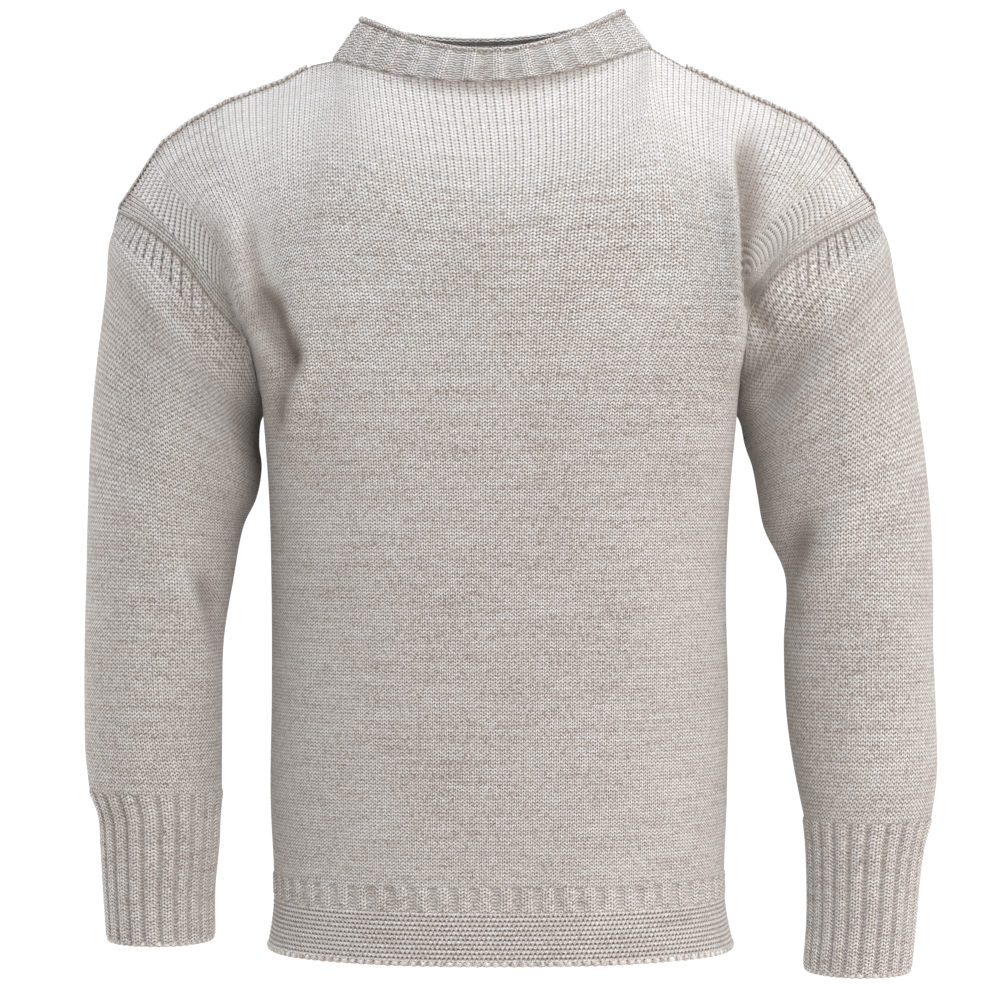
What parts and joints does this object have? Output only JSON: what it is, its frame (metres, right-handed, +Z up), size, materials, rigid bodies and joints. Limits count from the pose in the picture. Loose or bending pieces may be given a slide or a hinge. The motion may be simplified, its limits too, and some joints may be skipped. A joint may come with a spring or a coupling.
{
  "type": "guernsey fisherman sweater",
  "caption": "Long-sleeved fisherman's guernsey in plain knitting, filled out as worn, with a ribbed stand collar, dropped shoulders, ribbed cuffs and a split garter hem.",
  "frame": {"origin": "middle of the neck base, at the level where the shoulders carry the garment", "axes": "+Z up along the body, -Y the way the wearer faces, +X towards the wearer's left sleeve"},
  "size_m": [0.6608, 0.2538, 0.7455],
  "materials": {
    "wool": "matte, marled oatmeal wool"
  },
  "bodies": {
    "root": {"front_body": "wool", "back_body": "wool", "front_rib_band": "wool", "back_rib_band": "wool", "front_welt": "wool", "back_welt": "wool", "sleeve_left": "wool", "sleeve_right": "wool", "cuff_left": "wool", "cuff_right": "wool", "collar": "wool", "neck_gusset_left": "wool", "neck_gusset_right": "wool"}
  },
  "joints": []
}
